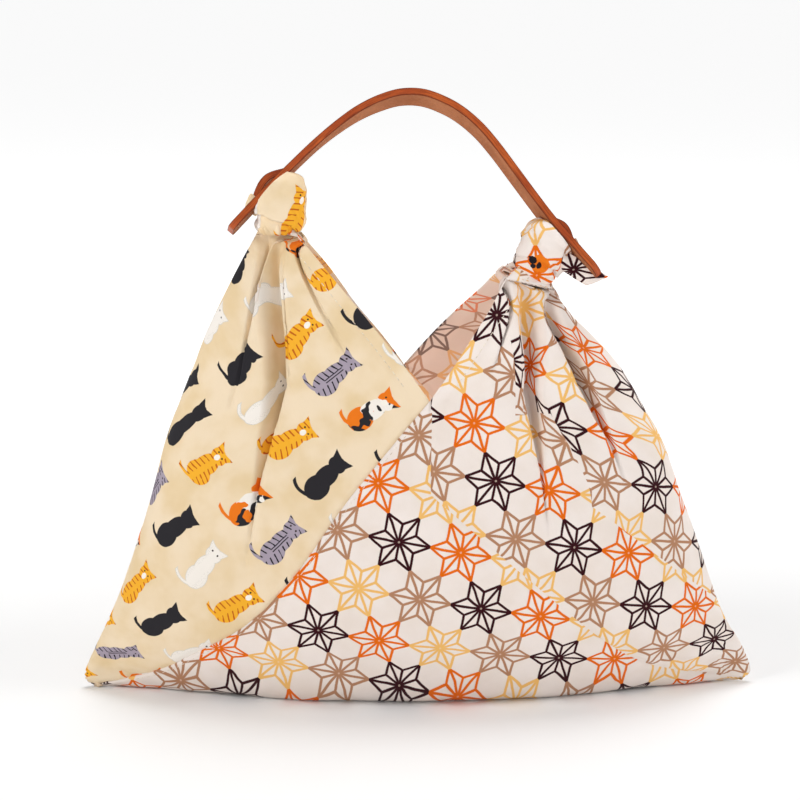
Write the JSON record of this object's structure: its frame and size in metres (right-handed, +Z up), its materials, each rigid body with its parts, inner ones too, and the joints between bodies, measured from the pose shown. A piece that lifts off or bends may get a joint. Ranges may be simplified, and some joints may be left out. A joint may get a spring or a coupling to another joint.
{
  "type": "azuma bag",
  "caption": "Knotted cloth bag with a leather handle: a strip of cloth folded into a soft triangular bag, its tails knotted through slits in the strap.",
  "frame": {"origin": "middle of the bag's box, on the surface that it rests on", "axes": "+X runs along the bottom fold from the cat-print side to the star-print side, +Y from the front to the back, +Z up"},
  "size_m": [0.2937, 0.0922, 0.2598],
  "materials": {
    "cat_print": "matte printed cotton",
    "star_print": "matte printed cotton",
    "leather": "oiled vegetable-tanned, burnished edges"
  },
  "bodies": {
    "root": {"cat_cloth": "cat_print", "star_cloth": "star_print", "handle": "leather"}
  },
  "joints": []
}
